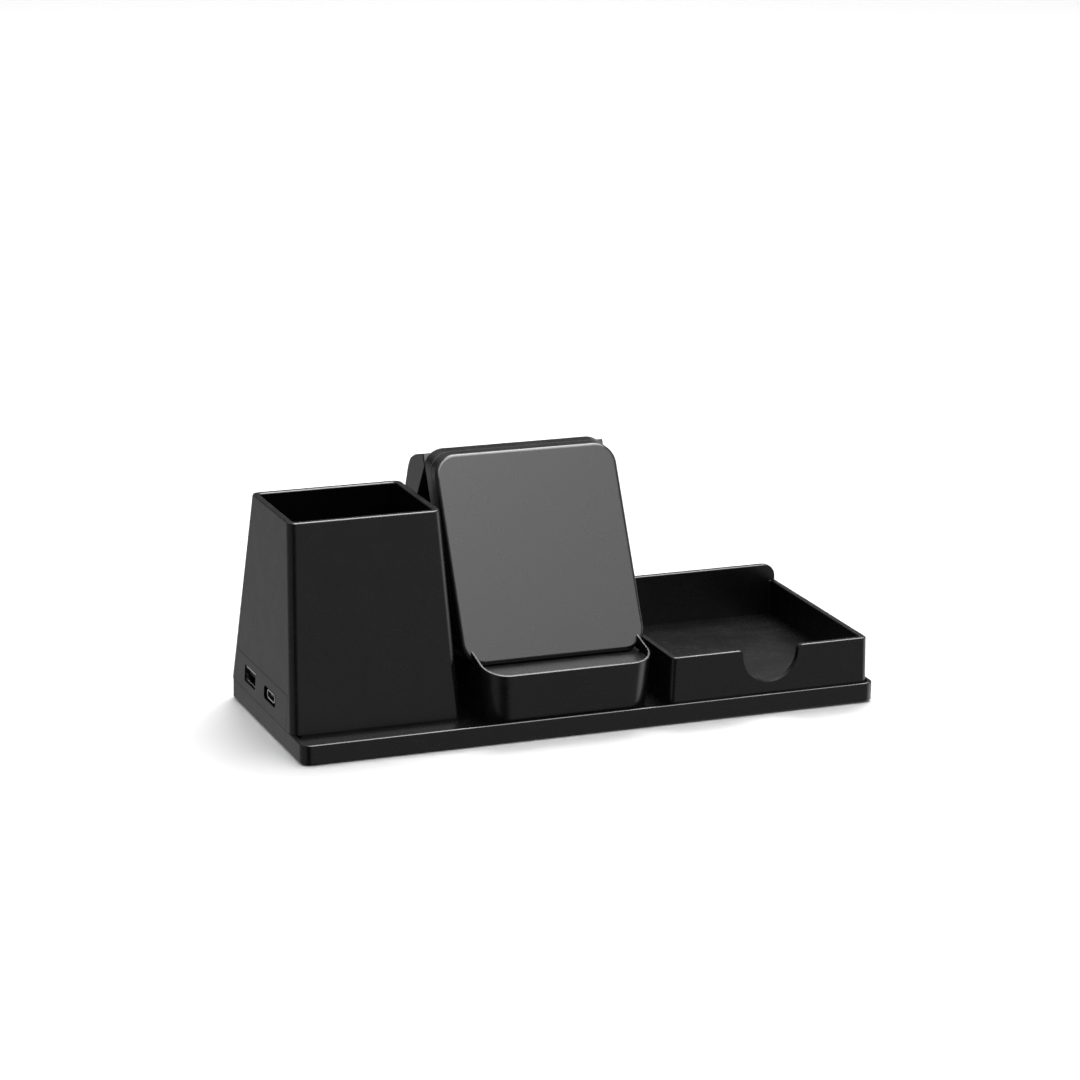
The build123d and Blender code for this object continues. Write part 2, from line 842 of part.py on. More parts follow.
def make_backrest_back():
    """The backrest's back shell, with posts for what is inside and blocks for the foot screws."""
    shell = backrest_plate(0, backrest_split, backrest_thickness)
    shell = fillet(shell.faces().sort_by(Axis.Z)[0].edges(), back_edge_round)
    pocket = backrest_plate(backrest_wall, backrest_split - overrun, back_pocket)
    for x, y in corner_post_places():
        pocket -= rod(corner_post_radius, x, y, -back_pocket, -backrest_split)
    shell -= pocket
    for piece in foot_blocks():
        shell += piece & backrest_plate(backrest_wall - fit_gap, backrest_split, back_pocket)
        shell += piece & backrest_plate(backrest_wall + fit_gap, 0, back_pocket)
    spread = carrier_post_share * carrier_side
    for x, y in corners(-spread, spread, coil_centre - spread, coil_centre + spread):
        shell += rod(carrier_post_radius, x, y, -back_pocket - fit_gap, -carrier_back)
    for x, y in charger_post_places():
        shell += rod(charger_post_radius, x, y, -back_pocket - fit_gap, -charger_back)
    height = backrest_length - neck_screw_inset
    for side in (-1, 1):
        shell += rod(corner_post_radius, side * neck_screw_offset, height, -back_pocket - fit_gap, -backrest_split)
        shell -= rod(screw_radius + thread_gap, side * neck_screw_offset, height,
                     -backrest_thickness - overrun, -backrest_split + overrun)
    seam = backrest_split + seam_groove
    shell -= backrest_plate(-overrun, backrest_split, seam) - backrest_plate(seam_groove, backrest_split, seam)
    for x, y in corner_post_places():
        shell -= Pos(x, y, -backrest_thickness) * flat_screw_hole(backrest_thickness)
    return finish_shell(shell)


def make_backrest_screws():
    """Four countersunk screws that close the backrest from behind."""
    screws = [Pos(x, y, -backrest_thickness) * flat_screw(backrest_screw_length) for x, y in corner_post_places()]
    return backrest_plane.location * Compound(screws)


def make_backrest_foot_screws():
    """Two screws from inside the ledge, up into the backrest's foot."""
    length = ledge_wall + foot_screw_reach - point_gap
    return Compound([Pos(x, y, trough_floor - ledge_wall) * pan_screw(length) for x, y in foot_screw_places()])


def make_coil_carrier():
    """The plastic plate that the ferrite and the coil lie on."""
    plate = Pos(0, coil_centre, -carrier_back) * extrude(
        RectangleRounded(carrier_side, carrier_side, carrier_radius), carrier_height)
    return backrest_plane.location * plate


def make_ferrite_sheet():
    """The ferrite behind the coil."""
    sheet = Pos(0, coil_centre, -carrier_front) * extrude(
        RectangleRounded(ferrite_side, ferrite_side, carrier_radius), ferrite_height)
    return backrest_plane.location * sheet


def make_charging_coil():
    """The flat copper coil, as one ring."""
    low = -carrier_front + ferrite_height
    ring = Circle(coil_outer_radius) - Circle(coil_inner_radius)
    coil = Pos(0, coil_centre, low) * extrude(ring, coil_height)
    return backrest_plane.location * coil


def charger_post_places():
    """The two posts under the charger board."""
    x = charger_post_share * charger_length
    y = charger_start + charger_width / 2
    return [(-x, y), (x, y)]


def make_charger_board():
    """The small board that drives the coil."""
    board = block(-charger_length / 2, charger_length / 2, charger_start, charger_start + charger_width,
                  -charger_back, -charger_front)
    return backrest_plane.location * board


def make_charger_chip():
    half = charger_chip_side / 2
    y = charger_start + charger_width / 2
    chip = block(-half, half, y - half, y + half, -charger_front, -charger_front + charger_chip_height)
    return backrest_plane.location * chip


def make_charger_capacitors():
    """A row of flat ceramic capacitors beside the charger chip."""
    y = charger_start + charger_width / 2
    pieces = []
    for index in range(charger_cap_count):
        x = charger_chip_side + (index + 1) * charger_cap_pitch
        pieces.append(block(x - charger_cap_width / 2, x + charger_cap_width / 2,
                            y - charger_cap_length / 2, y + charger_cap_length / 2,
                            -charger_front, -charger_front + charger_cap_height))
    return backrest_plane.location * Compound(pieces)


def make_charger_plug():
    """The small plug on the charger board's lower edge."""
    half = charger_plug_width / 2
    rise = charger_plug_height / 2
    plug = block(cable_offset - half, cable_offset + half, charger_start - charger_plug_length, charger_start,
                 -cable_depth - rise, -cable_depth + rise)
    return backrest_plane.location * plug


def make_link_cable():
    """The power cable from the port board, under the deck, to the backrest."""
    points = cable_route()
    radii = bend_radii(points)
    path = FilletPolyline(*points, radius=radii)
    print("cable length", round(path.length, 1), "bend radii", [round(r, 1) for r in radii])
    section = Plane(origin=path @ 0, z_dir=path % 0) * Circle(cable_radius)
    cable = sweep(section, path=path)
    print("cable volume share", round(cable.volume / (math.pi * cable_radius ** 2 * path.length), 4))
    return cable


def backrest_rear_y(height):
    """How far back the backrest's rear face is at a height."""
    rise = height - trough_floor
    return base_front + backrest_foot + rise * math.tan(lean) + backrest_thickness / math.cos(lean)


def support_profile():
    """The rear support's side view: a leg whose head leans forward to the backrest."""
    front = support_rear - support_thickness
    reach = support_rear - backrest_rear_y(stand_top)
    head = [
        (support_rear, stand_top - support_heel_drop),
        (support_rear - support_shoulder_share * reach, stand_top - support_shoulder_drop),
        (support_rear - support_bend_share * reach, stand_top - support_bend_drop),
        (support_rear - support_crown_share * reach, stand_top - support_crown_drop),
    ]
    high = stand_top - support_front_drop
    low = high - support_bearing
    points = [
        (support_rear, deck_top),
        *head,
        (backrest_rear_y(high), high),
        (backrest_rear_y(low), low),
        (front, stand_top - support_throat_drop),
        (front, support_flare_top),
        (support_rear - support_foot_depth, support_flare_foot),
        (support_rear - support_foot_depth, deck_top),
    ]
    face = make_face(Polyline(*points, close=True))
    rounded = [face.vertices().sort_by_distance((y, height, 0))[0] for y, height in head]
    return fillet(rounded, support_round_share * reach)


def side_plane(x):
    """A plane across the base, with Y and Z as its axes."""
    return Plane(origin=(x, 0, 0), x_dir=(0, 1, 0), z_dir=(1, 0, 0))


def neck_profile():
    """The neck that joins the leg to the middle of the backrest."""
    inside = support_rear - support_thickness + fit_gap
    high = stand_top - neck_top_drop
    low = stand_top - neck_base_drop
    points = [
        (backrest_rear_y(high), high),
        (backrest_rear_y(low), low),
        (inside, stand_top - neck_root_drop),
        (inside, high),
    ]
    return make_face(Polyline(*points, close=True))


def neck_screw_location(side, back):
    """A place on a neck screw's line, a distance behind the backrest, pointing into it."""
    start = backrest_plane.from_local_coords(
        Vector(side * neck_screw_offset, backrest_length - neck_screw_inset, -backrest_thickness - back))
    return Plane(origin=start, x_dir=(1, 0, 0), z_dir=(0, -math.cos(lean), math.sin(lean))).location


def support_cover_box(grow, z_low, depth):
    """The rear cover's outline as a plate, larger by a gap."""
    half = backrest_width / 2 - support_side_wall + grow
    low = support_cavity_base - support_cover_margin - grow
    high = support_cavity_top + support_cover_margin + grow
    plane = Plane(origin=(stand_x, z_low, (low + high) / 2), x_dir=(-1, 0, 0), z_dir=(0, 1, 0))
    return extrude(plane * RectangleRounded(2 * half, high - low, support_cover_radius), depth)


def support_cover_screw_places():
    """The rear cover's four screws."""
    half = backrest_width / 2 - support_side_wall - cover_screw_edge
    low = support_cavity_base - support_cover_margin + cover_screw_edge
    high = support_cavity_top + support_cover_margin - cover_screw_edge
    return [(stand_x + side * half, z) for side in (-1, 1) for z in (low, high)]


def rear_screw(x, z, solid):
    """A piece placed on the support's rear face, pointing forwards."""
    return Plane(origin=(x, support_rear, z), x_dir=(1, 0, 0), z_dir=(0, -1, 0)).location * solid


def make_rear_support():
    """The leg behind the backrest: hollow, open at the rear and screwed to the deck."""
    half = backrest_width / 2
    leg = extrude(side_plane(stand_x - half) * support_profile(), backrest_width)
    sides = leg.faces().filter_by(Axis.X)
    leg = fillet([edge for face in sides for edge in face.edges()], support_edge_round)
    leg += extrude(side_plane(stand_x - neck_width / 2) * neck_profile(), neck_width)
    recess = support_rear - support_cover_thickness
    leg -= support_cover_box(support_cover_gap, recess, support_cover_thickness + overrun)
    inner = support_side_wall + support_cover_margin
    cavity = block(stand_x - half + inner, stand_x + half - inner,
                   support_rear - support_thickness + support_wall, recess + overrun,
                   support_cavity_base, support_cavity_top)
    for x, z in support_cover_screw_places():
        post = Cylinder(support_boss_radius, support_thickness, align=low_align)
        cavity -= rear_screw(x, z, post)
    leg -= cavity
    for x, z in support_cover_screw_places():
        bore = Cylinder(flat_screw_radius + thread_gap, support_cover_screw_length + fit_gap, align=low_align)
        leg -= rear_screw(x, z, bore)
    for side in (-1, 1):
        through = Cylinder(screw_radius + pass_gap, neck_seat + 2 * overrun, align=low_align)
        leg -= neck_screw_location(side, neck_seat + overrun) * through
        seat = neck_screw_location(side, neck_seat)
        way = (recess - seat.position.Y) / math.cos(lean)
        leg -= seat * Cylinder(screw_head_radius + pass_gap, way, align=high_align)
    for x, y in deck_screw_places()["support"]:
        leg -= rod(screw_radius + thread_gap, x, y, deck_top - overrun, support_flare_foot)
    return leg


def make_support_cover():
    """The plate that closes the support from behind."""
    recess = support_rear - support_cover_thickness
    plate = support_cover_box(0, recess, support_cover_thickness)
    for x, z in support_cover_screw_places():
        plate -= rear_screw(x, z, flat_screw_hole(support_thickness))
    return plate


def make_support_cover_screws():
    screws = [rear_screw(x, z, flat_screw(support_cover_screw_length)) for x, z in support_cover_screw_places()]
    return Compound(screws)


def make_neck_screws():
    """Two screws from the neck into the backrest's back shell."""
    return Compound([neck_screw_location(side, neck_seat) * pan_screw(neck_screw_length) for side in (-1, 1)])


def tray_section(height, inset, radius):
    """The memo tray's outline at a height: its sides spread a little towards the foot."""
    share = (tray_top - height) / (tray_top - deck_top)
    x_low = base_left + tray_left - tray_lean * share + inset
    x_high = base_left + tray_left + tray_width + tray_lean * share - inset
    y_low = base_front + rim_width + fit_gap + inset
    y_high = rim_inner_back - inset
    middle = ((x_low + x_high) / 2, (y_low + y_high) / 2, height)
    return Pos(*middle) * RectangleRounded(x_high - x_low, y_high - y_low, radius)


def tray_body(low, high, inset, radius):
    """The solid between two of the tray's outlines."""
    return loft([tray_section(low, inset, radius), tray_section(high, inset, radius)], ruled=True)


def tray_back_panel():
    """The tray's back wall, higher than its sides, with rounded upper corners."""
    low = tray_top - 2 * tray_back_rise
    high = tray_top + tray_back_rise
    plane = Plane(origin=(base_left + tray_left + tray_width / 2, rim_inner_back, (low + high) / 2),
                  x_dir=(1, 0, 0), z_dir=(0, -1, 0))
    inset = tray_edge_round
    outline = Rectangle(tray_width - 2 * inset, high - low)
    outline = fillet(outline.vertices().sort_by(Axis.Y)[-2:], tray_back_radius)
    panel = extrude(plane * outline, tray_wall)
    upper = [edge for edge in panel.edges() if edge.center().Z > tray_top and edge.bounding_box().size.Y < fit_gap]
    return fillet(upper, tray_edge_round)


def notch_cut():
    """The half-round thumb notch in the tray's front wall."""
    half = notch_width / 2
    centre_z = tray_top - notch_depth + half
    x = base_left + tray_left + tray_width / 2
    front = base_front + rim_width - overrun
    plane = Plane(origin=(x, front, 0), x_dir=(1, 0, 0), z_dir=(0, 1, 0))
    depth = tray_wall + 2 * overrun
    cut = block(x - half, x + half, front, front + depth, centre_z, tray_top + overrun)
    cut += plane.location * Pos(0, -centre_z, 0) * Cylinder(half, depth, align=low_align)
    lip = notch_lip_radius
    for side in (-1, 1):
        wedge = block(min(x + side * half, x + side * (half + lip)), max(x + side * half, x + side * (half + lip)),
                      front, front + depth, tray_top - lip, tray_top + overrun)
        corner = plane.location * Pos(side * (half + lip), lip - tray_top, 0)
        wedge -= corner * Cylinder(lip, depth, align=low_align)
        cut += wedge
    return cut


def make_memo_tray():
    """The memo tray: a shallow box with a notched front and a raised back."""
    tray = tray_body(deck_top, tray_top, 0, tray_corner_radius)
    tray -= tray_body(tray_floor_top, tray_top + overrun, tray_wall, tray_inner_radius)
    tray = fillet(tray.faces().sort_by(Axis.Z)[-1].edges(), tray_edge_round)
    tray += tray_back_panel()
    under = tray_body(deck_top - overrun, tray_floor_top - tray_floor_thickness, tray_wall, tray_inner_radius)
    for x, y in deck_screw_places()["tray"]:
        under -= rod(boss_radius, x, y, deck_top - overrun, tray_floor_top)
    tray -= under
    tray -= notch_cut()
    for x, y in deck_screw_places()["tray"]:
        tray -= rod(screw_radius + thread_gap, x, y, deck_top - overrun, tray_floor_top - point_gap)
    return tray


def deck_screws(name, length):
    """The screws that hold one piece from under the deck."""
    return Compound([Pos(x, y, deck_bottom) * pan_screw(length) for x, y in deck_screw_places()[name]])


short_screw_length = tray_floor_top - deck_bottom - 2 * point_gap
long_screw_length = deck_thickness + ledge_boss_inset - point_gap

parts = {
    "base_tray": make_base_tray(),
    "bottom_cover": make_bottom_cover(),
    "cover_screws": make_cover_screws(),
    "rubber_feet": make_rubber_feet(),
    "pen_cup": make_pen_cup(),
    "cup_screws": deck_screws("cup", long_screw_length),
    "port_panel": make_port_panel(),
    "usb_a_shell": make_usb_a_shell(),
    "usb_a_tongue": make_usb_a_tongue(),
    "usb_a_contacts": make_usb_a_contacts(),
    "usb_c_shell": make_usb_c_shell(),
    "usb_c_tongue": make_usb_c_tongue(),
    "usb_c_riser": make_usb_c_riser(),
    "port_board": make_port_board(),
    "board_screws": make_board_screws(),
    "controller_chip": make_controller_chip(),
    "power_inductor": make_power_inductor(),
    "capacitors": make_capacitors(),
    "board_plug": make_board_plug(),
    "link_cable": make_link_cable(),
    "ledge_block": make_ledge_block(),
    "ledge_screws": deck_screws("ledge", long_screw_length),
    "backrest_front": make_backrest_front(),
    "backrest_back": make_backrest_back(),
    "backrest_screws": make_backrest_screws(),
    "backrest_foot_screws": make_backrest_foot_screws(),
    "coil_carrier": make_coil_carrier(),
    "ferrite_sheet": make_ferrite_sheet(),
    "charging_coil": make_charging_coil(),
    "charger_board": make_charger_board(),
    "charger_chip": make_charger_chip(),
    "charger_capacitors": make_charger_capacitors(),
    "charger_plug": make_charger_plug(),
    "rear_support": make_rear_support(),
    "support_cover": make_support_cover(),
    "support_cover_screws": make_support_cover_screws(),
    "neck_screws": make_neck_screws(),
    "support_screws": deck_screws("support", short_screw_length),
    "memo_tray": make_memo_tray(),
    "tray_screws": deck_screws("tray", short_screw_length),
}

for name, shape in parts.items():
    export_step(shape, f"parts/{name}.step")
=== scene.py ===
import json
import math

import bpy
from mathutils import Matrix, Vector


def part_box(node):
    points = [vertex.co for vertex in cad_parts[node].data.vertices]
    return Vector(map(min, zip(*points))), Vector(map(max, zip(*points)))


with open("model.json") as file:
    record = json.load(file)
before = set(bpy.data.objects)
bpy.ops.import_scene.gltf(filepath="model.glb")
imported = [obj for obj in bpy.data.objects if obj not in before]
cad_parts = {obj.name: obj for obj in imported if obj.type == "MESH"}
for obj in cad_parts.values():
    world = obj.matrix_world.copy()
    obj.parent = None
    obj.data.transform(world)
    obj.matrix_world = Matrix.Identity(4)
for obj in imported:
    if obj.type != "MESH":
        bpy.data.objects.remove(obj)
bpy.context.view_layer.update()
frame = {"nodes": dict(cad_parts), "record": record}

# The camera, as solved from the photograph: its place and axes in the part's frame, in metres,
# and its lens and sensor in millimetres
CAMERA_PLACE = (-0.51669, -1.25035, 0.45156)
CAMERA_RIGHT = (0.92772, -0.37288, 0.01733)
CAMERA_UP = (0.08681, 0.26069, 0.96152)
CAMERA_BACK = (-0.36305, -0.89048, 0.27428)
CAMERA_LENS = 119.12
CAMERA_SENSOR = 36.0
CAMERA_NEAR, CAMERA_FAR = 0.05, 100.0

# The floor: the length of its side in metres, its colours and its finish
FLOOR_SIZE = 40.0
FLOOR_COLOUR = (0.93, 0.93, 0.93)
FLOOR_DARK, FLOOR_LIGHT = (0.925, 0.925, 0.925), (0.935, 0.935, 0.935)
FLOOR_ROUGHNESS, FLOOR_SPECULAR = 0.75, 0.2

# The sky is dim near the horizon and bright overhead. Heights are sines of the angle above the horizon.
SKY_COLOUR = (1.0, 1.0, 1.0, 1.0)
SKY_DIM, SKY_BRIGHT = 0.12, 1.00
SKY_DIM_HEIGHT, SKY_BRIGHT_HEIGHT = 0.34, 0.60
# Between these heights the sky takes over from what the gloss mirrors low down
HORIZON_LOW, HORIZON_HIGH = 0.14, 0.28
# What the gloss mirrors low down: soft panels by direction, with their half-angle and the width of
# their soft edge in degrees, and their brightness. The first is in front, the second at the left,
# the third a bright strip at the right and the fourth behind. Between them it is nearly dark.
LOW_DIM = 0.02
LOW_PANELS = (
    ((0.363, -0.89, -0.12), 22.0, 10.0, 0.68),
    ((-0.95, 0.26, -0.30), 54.0, 12.0, 0.51),
    ((0.95, -0.17, -0.20), 22.0, 12.0, 2.6),
    ((0.68, 0.66, -0.38), 28.0, 12.0, 0.60),
)
# Each light: name, place, aim, width, height, power in watts, and whether it only makes gloss
LIGHTS = (
    ("overhead", (0.50, 0.80, 1.85), (0.0, 0.0, 0.0), 1.1, 0.9, 27.0, False),
    ("overhead_gloss", (0.55, -0.25, 2.1), (0.0, 0.0, 0.0), 3.4, 1.6, 380.0, True),
    ("front_gloss", (0.73, -1.48, 1.16), (0.0, 0.0, 0.05), 1.2, 0.8, 16.0, True),
)

# Each noise: its scale per metre, detail and roughness
FLOOR_MOTTLE = (3.0, 2.0, 0.5)
PLASTIC_MOTTLE = (38.0, 4.0, 0.6)
PLASTIC_GLOSS = (120.0, 5.0, 0.65)
METAL_LINES = (900.0, 4.0, 0.6)
# The same without the scale, where each material has its own
GRAIN_DETAIL = (2.0, 0.5)
WAVE_DETAIL = (3.0, 0.5)
MOTTLE_DETAIL = (4.0, 0.6)
# How much smoother and rougher than its stated roughness each kind of surface gets
PLASTIC_ROUGHNESS_SPAN = (0.02, 0.03)
METAL_ROUGHNESS_SPAN = (0.07, 0.1)
SOLID_ROUGHNESS_SPAN = (0.06, 0.08)
COAT_ROUGHNESS = 0.2
# Bumps: strengths, depths in metres, and how a plastic's slow waves follow from its grain
GRAIN_STRENGTH = 0.1
WAVE_STRENGTH, WAVE_WIDTH, WAVE_DEPTH = 0.06, 9.0, 3.0
METAL_STRENGTH, METAL_DEPTH = 0.15, 0.00003
SOLID_STRENGTH, SOLID_DEPTH, SOLID_FINENESS = 0.2, 0.00004, 12.0

# Black moulded plastics: dark and light colour, roughness, specular level, grain per metre and its depth
PLASTICS = {
    "body_plastic": ((0.0022, 0.0022, 0.0024), (0.0029, 0.0029, 0.0031), 0.26, 0.26, 2600.0, 0.000012),
    "ledge_plastic": ((0.0026, 0.0026, 0.0028), (0.0032, 0.0032, 0.0034), 0.28, 0.27, 3000.0, 0.000006),
    "backrest_plastic": ((0.0032, 0.0032, 0.0034), (0.0038, 0.0038, 0.0040), 0.28, 0.24, 3000.0, 0.000005),
    "under_plastic": ((0.0030, 0.0030, 0.0032), (0.0040, 0.0040, 0.0042), 0.36, 0.26, 2600.0, 0.000012),
}
# Metals: dark and light colour, roughness, and the stretch of their lines along each axis
SOCKET_STEEL = ((0.78, 0.78, 0.79), (0.94, 0.94, 0.94), 0.20, (0.06, 1.0, 1.0))
METALS = {
    "screw_steel": ((0.05, 0.05, 0.055), (0.12, 0.12, 0.13), 0.34, (1.0, 1.0, 0.08)),
    "contact_brass": ((0.80, 0.58, 0.22), (0.95, 0.74, 0.36), 0.22, (0.05, 1.0, 1.0)),
    "can_aluminium": ((0.55, 0.55, 0.56), (0.74, 0.74, 0.75), 0.28, (1.0, 1.0, 0.05)),
    "coil_copper": ((0.50, 0.20, 0.08), (0.74, 0.34, 0.17), 0.30, (1.0, 1.0, 0.3)),
}
# Other solids: dark and light colour, roughness, mottles per metre, specular level and coat
SOLIDS = {
    "rubber": ((0.012, 0.012, 0.012), (0.022, 0.021, 0.020), 0.78, 300.0, 0.25, 0.0),
    "tongue_plastic": ((0.003, 0.003, 0.003), (0.006, 0.006, 0.006), 0.42, 500.0, 0.2, 0.0),
    "circuit_board": ((0.010, 0.085, 0.035), (0.018, 0.135, 0.058), 0.36, 420.0, 0.5, 0.3),
    "chip_plastic": ((0.012, 0.012, 0.012), (0.024, 0.024, 0.024), 0.50, 800.0, 0.35, 0.0),
    "plug_plastic": ((0.60, 0.57, 0.48), (0.72, 0.69, 0.60), 0.45, 260.0, 0.5, 0.0),
    "cable_jacket": ((0.011, 0.011, 0.011), (0.020, 0.020, 0.020), 0.52, 320.0, 0.3, 0.0),
    "carrier_plastic": ((0.42, 0.42, 0.42), (0.54, 0.54, 0.54), 0.48, 160.0, 0.5, 0.0),
    "ferrite": ((0.030, 0.028, 0.026), (0.060, 0.056, 0.050), 0.62, 420.0, 0.3, 0.0),
    "ceramic": ((0.33, 0.23, 0.14), (0.46, 0.34, 0.22), 0.50, 600.0, 0.5, 0.0),
}
# The sockets' shells keep their steel colour to a depth from their mouth, then fade into a painted shade
# further in. Depths are in metres.
SOCKET_SHELLS = ("usb_a_shell", "usb_c_shell")
PAINTED_SHADE_START, PAINTED_SHADE_FULL = 0.0006, 0.0016
# The colour of the painted shade deep inside the sockets
SOCKET_PAINTED_SHADE = (0.02, 0.02, 0.02)
# Where on a noise its lowest and highest values are taken, for numbers and for colours
NUMBER_ENDS = (0.3, 0.7)
COLOUR_ENDS = (0.35, 0.65)


def new_object(name, data):
    piece = bpy.data.objects.new(name, data)
    bpy.context.scene.collection.objects.link(piece)
    return piece


def make_camera():
    data = bpy.data.cameras.new("camera")
    data.lens = CAMERA_LENS
    data.sensor_width = CAMERA_SENSOR
    data.sensor_fit = "HORIZONTAL"
    data.clip_start = CAMERA_NEAR
    data.clip_end = CAMERA_FAR
    camera = new_object("camera", data)
    axes = Matrix((CAMERA_RIGHT, CAMERA_UP, CAMERA_BACK)).transposed()
    camera.matrix_world = Matrix.Translation(CAMERA_PLACE) @ axes.to_4x4()
    bpy.context.scene.camera = camera


def make_lights():
    for name, place, aim, width, height, power, only_gloss in LIGHTS:
        data = bpy.data.lights.new(name, "AREA")
        data.shape = "RECTANGLE"
        data.size = width
        data.size_y = height
        data.energy = power
        light = new_object(name, data)
        light.location = place
        direction = Vector(aim) - Vector(place)
        light.rotation_euler = direction.to_track_quat("-Z", "Y").to_euler()
        light.visible_diffuse = not only_gloss


def map_range(tree, source, low, high, start, end, soft=False):
    """A value that goes from low to high as the source goes from start to end."""
    node = tree.nodes.new("ShaderNodeMapRange")
    if soft:
        node.interpolation_type = "SMOOTHSTEP"
    node.inputs["From Min"].default_value = start
    node.inputs["From Max"].default_value = end
    node.inputs["To Min"].default_value = low
    node.inputs["To Max"].default_value = high
    tree.links.new(source, node.inputs["Value"])
    return node.outputs["Result"]


def low_panel(tree, direction, aim, reach, edge, brightness):
    """One soft panel's brightness in a direction."""
    dot = tree.nodes.new("ShaderNodeVectorMath")
    dot.operation = "DOT_PRODUCT"
    tree.links.new(direction, dot.inputs[0])
    dot.inputs[1].default_value = Vector(aim).normalized()
    start = math.cos(math.radians(reach + edge))
    end = math.cos(math.radians(reach))
    return map_range(tree, dot.outputs["Value"], 0.0, brightness, start, end, soft=True)


def make_sky():
    """A sky that is dim near the horizon and bright overhead, with soft panels for gloss low down."""
    world = bpy.data.worlds.new("studio")
    world.use_nodes = True
    tree = world.node_tree
    direction = tree.nodes.new("ShaderNodeTexCoord").outputs["Generated"]
    parts = tree.nodes.new("ShaderNodeSeparateXYZ")
    tree.links.new(direction, parts.inputs["Vector"])
    height = parts.outputs["Z"]
    high = map_range(tree, height, SKY_DIM, SKY_BRIGHT, SKY_DIM_HEIGHT, SKY_BRIGHT_HEIGHT)
    above = map_range(tree, height, 0.0, 1.0, HORIZON_LOW, HORIZON_HIGH)
    low = None
    for panel in LOW_PANELS:
        total = tree.nodes.new("ShaderNodeMath")
        total.operation = "ADD"
        total.inputs[0].default_value = LOW_DIM
        if low:
            tree.links.new(low, total.inputs[0])
        tree.links.new(low_panel(tree, direction, *panel), total.inputs[1])
        low = total.outputs["Value"]
    mixed = tree.nodes.new("ShaderNodeMix")
    tree.links.new(above, mixed.inputs["Factor"])
    tree.links.new(low, mixed.inputs["A"])
    tree.links.new(high, mixed.inputs["B"])
    background = tree.nodes["Background"]
    background.inputs["Color"].default_value = SKY_COLOUR
    tree.links.new(mixed.outputs["Result"], background.inputs["Strength"])
    bpy.context.scene.world = world
    bpy.context.scene.view_settings.view_transform = "Standard"


class Shader:
    """A principled material with small helpers for its procedural nodes."""

    def __init__(self, name, colour, roughness, metallic=0.0, specular=0.5, coat=0.0):
        self.material = bpy.data.materials.new(name)
        self.material.use_nodes = True
        self.tree = self.material.node_tree
        self.body = self.tree.nodes["Principled BSDF"]
        self.body.inputs["Base Color"].default_value = (*colour, 1.0)
        self.body.inputs["Roughness"].default_value = roughness
        self.body.inputs["Metallic"].default_value = metallic
        self.body.inputs["Specular IOR Level"].default_value = specular
        self.body.inputs["Coat Weight"].default_value = coat
        self.body.inputs["Coat Roughness"].default_value = COAT_ROUGHNESS
        self.place = self.tree.nodes.new("ShaderNodeTexCoord").outputs["Object"]
        self.normal = None

    def link(self, source, target):
        self.tree.links.new(source, target)

    def noise(self, scale, detail, roughness, stretch=None):
        """A noise over the object, stretched along an axis where its scale is small."""
        node = self.tree.nodes.new("ShaderNodeTexNoise")
        node.inputs["Scale"].default_value = scale
        node.inputs["Detail"].default_value = detail
        node.inputs["Roughness"].default_value = roughness
        source = self.place
        if stretch:
            mapping = self.tree.nodes.new("ShaderNodeMapping")
            mapping.inputs["Scale"].default_value = stretch
            self.link(source, mapping.inputs["Vector"])
            source = mapping.outputs["Vector"]
        self.link(source, node.inputs["Vector"])
        return node.outputs["Fac"]

    def blend(self, source, first, second):
        """A colour between two, by a noise."""
        node = self.tree.nodes.new("ShaderNodeValToRGB")
        for element, position, colour in zip(node.color_ramp.elements, COLOUR_ENDS, (first, second)):
            element.position = position
            element.color = (*colour, 1.0)
        self.link(source, node.inputs["Fac"])
        return node.outputs["Color"]

    def colour(self, source):
        self.link(source, self.body.inputs["Base Color"])

    def rough(self, source, roughness, span):
        """A roughness that varies round its stated value, by a noise."""
        smoother, rougher = span
        value = map_range(self.tree, source, roughness - smoother, roughness + rougher, *NUMBER_ENDS)
        self.link(value, self.body.inputs["Roughness"])

    def bump(self, source, strength, distance):
        node = self.tree.nodes.new("ShaderNodeBump")
        node.inputs["Strength"].default_value = strength
        node.inputs["Distance"].default_value = distance
        self.link(source, node.inputs["Height"])
        if self.normal:
            self.link(self.normal, node.inputs["Normal"])
        self.normal = node.outputs["Normal"]
        self.link(self.normal, self.body.inputs["Normal"])


def moulded(name, dark, light, roughness, specular, grain, depth):
    """Black moulded plastic: a fine grain, faint mottling and soft changes of gloss."""
    shader = Shader(name, dark, roughness, specular=specular)
    shader.colour(shader.blend(shader.noise(*PLASTIC_MOTTLE), dark, light))
    shader.rough(shader.noise(*PLASTIC_GLOSS), roughness, PLASTIC_ROUGHNESS_SPAN)
    shader.bump(shader.noise(grain, *GRAIN_DETAIL), GRAIN_STRENGTH, depth)
    shader.bump(shader.noise(grain / WAVE_WIDTH, *WAVE_DETAIL), WAVE_STRENGTH, depth * WAVE_DEPTH)
    return shader.material


def socket_with_painted_shade(shader, bright):
    """A socket's colour: its steel colour at its mouth and a painted shade further in."""
    parts = shader.tree.nodes.new("ShaderNodeSeparateXYZ")
    shader.link(shader.place, parts.inputs["Vector"])
    mouth = min(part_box(name)[0][0] for name in SOCKET_SHELLS)
    # How far the painted shade of the socket's recess has set in, from none at the mouth to full further
    # in
    painted_shade_amount = map_range(shader.tree, parts.outputs["X"], 0.0, 1.0, mouth + PAINTED_SHADE_START, mouth + PAINTED_SHADE_FULL)
    node = shader.tree.nodes.new("ShaderNodeMix")
    node.data_type = "RGBA"
    first, second = [socket for socket in node.inputs if socket.type == "RGBA"]
    shader.link(painted_shade_amount, node.inputs[0])
    shader.link(bright, first)
    second.default_value = (*SOCKET_PAINTED_SHADE, 1.0)
    return [socket for socket in node.outputs if socket.type == "RGBA"][0]


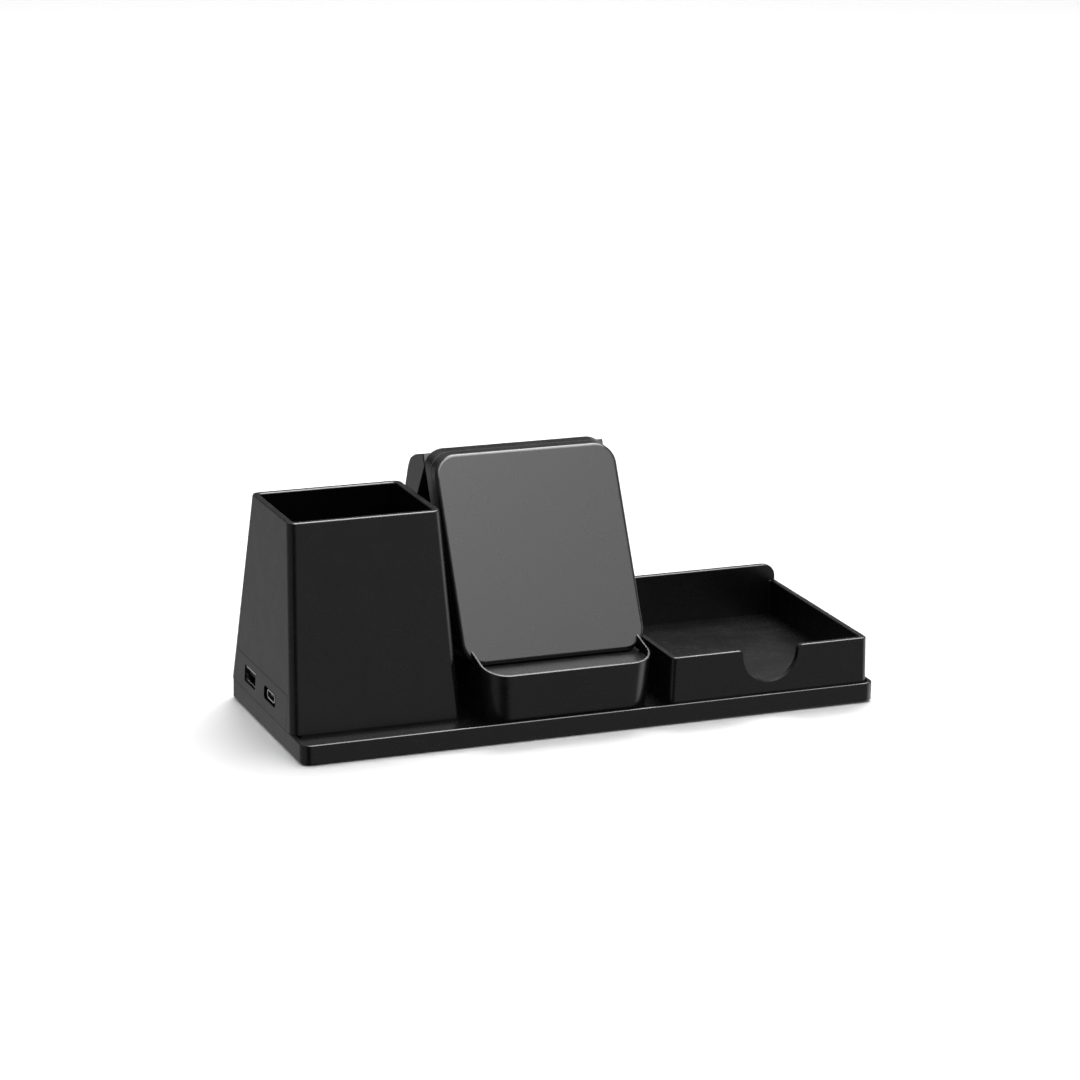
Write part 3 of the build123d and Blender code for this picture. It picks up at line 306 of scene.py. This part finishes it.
def metal(name, dark, light, roughness, stretch, socket=False):
    """Stamped or drawn metal with fine lines along one direction; a socket's shell also gets a painted
    shade further in.
    """
    shader = Shader(name, light, roughness, metallic=1.0)
    lines = shader.noise(*METAL_LINES, stretch)
    tint = shader.blend(lines, dark, light)
    shader.colour(socket_with_painted_shade(shader, tint) if socket else tint)
    shader.rough(lines, roughness, METAL_ROUGHNESS_SPAN)
    shader.bump(lines, METAL_STRENGTH, METAL_DEPTH)
    return shader.material


def plain(name, dark, light, roughness, scale, specular, coat):
    """A matt or waxy solid with a slight mottle."""
    shader = Shader(name, dark, roughness, specular=specular, coat=coat)
    mottle = shader.noise(scale, *MOTTLE_DETAIL)
    shader.colour(shader.blend(mottle, dark, light))
    shader.rough(mottle, roughness, SOLID_ROUGHNESS_SPAN)
    shader.bump(shader.noise(scale * SOLID_FINENESS, *WAVE_DETAIL), SOLID_STRENGTH, SOLID_DEPTH)
    return shader.material


def make_materials():
    """Every material, under the name of the record's slot that it finishes."""
    made = {name: moulded(name, *values) for name, values in PLASTICS.items()}
    made.update({name: metal(name, *values) for name, values in METALS.items()})
    made.update({name: plain(name, *values) for name, values in SOLIDS.items()})
    # The sockets' steel, with a painted shade deep inside
    made["bright_steel"] = metal("bright_steel", *SOCKET_STEEL, socket=True)
    return made


def dress_nodes(materials):
    for part in frame["record"]["subparts"]:
        node = frame["nodes"][part["node"]]
        for slot in node.material_slots:
            slot.material = materials[part["material_slot"]]


def make_floor():
    half = FLOOR_SIZE / 2.0
    corners = [(-half, -half, 0.0), (half, -half, 0.0), (half, half, 0.0), (-half, half, 0.0)]
    mesh = bpy.data.meshes.new("floor")
    mesh.from_pydata(corners, [], [(0, 1, 2, 3)])
    floor = new_object("floor", mesh)
    shader = Shader("floor", FLOOR_COLOUR, FLOOR_ROUGHNESS, specular=FLOOR_SPECULAR)
    shader.colour(shader.blend(shader.noise(*FLOOR_MOTTLE), FLOOR_DARK, FLOOR_LIGHT))
    mesh.materials.append(shader.material)
    # The gloss of the plastic doesn't mirror the white floor, as the photograph's dark faces show
    floor.visible_glossy = False


make_camera()
make_lights()
make_sky()
dress_nodes(make_materials())
make_floor()
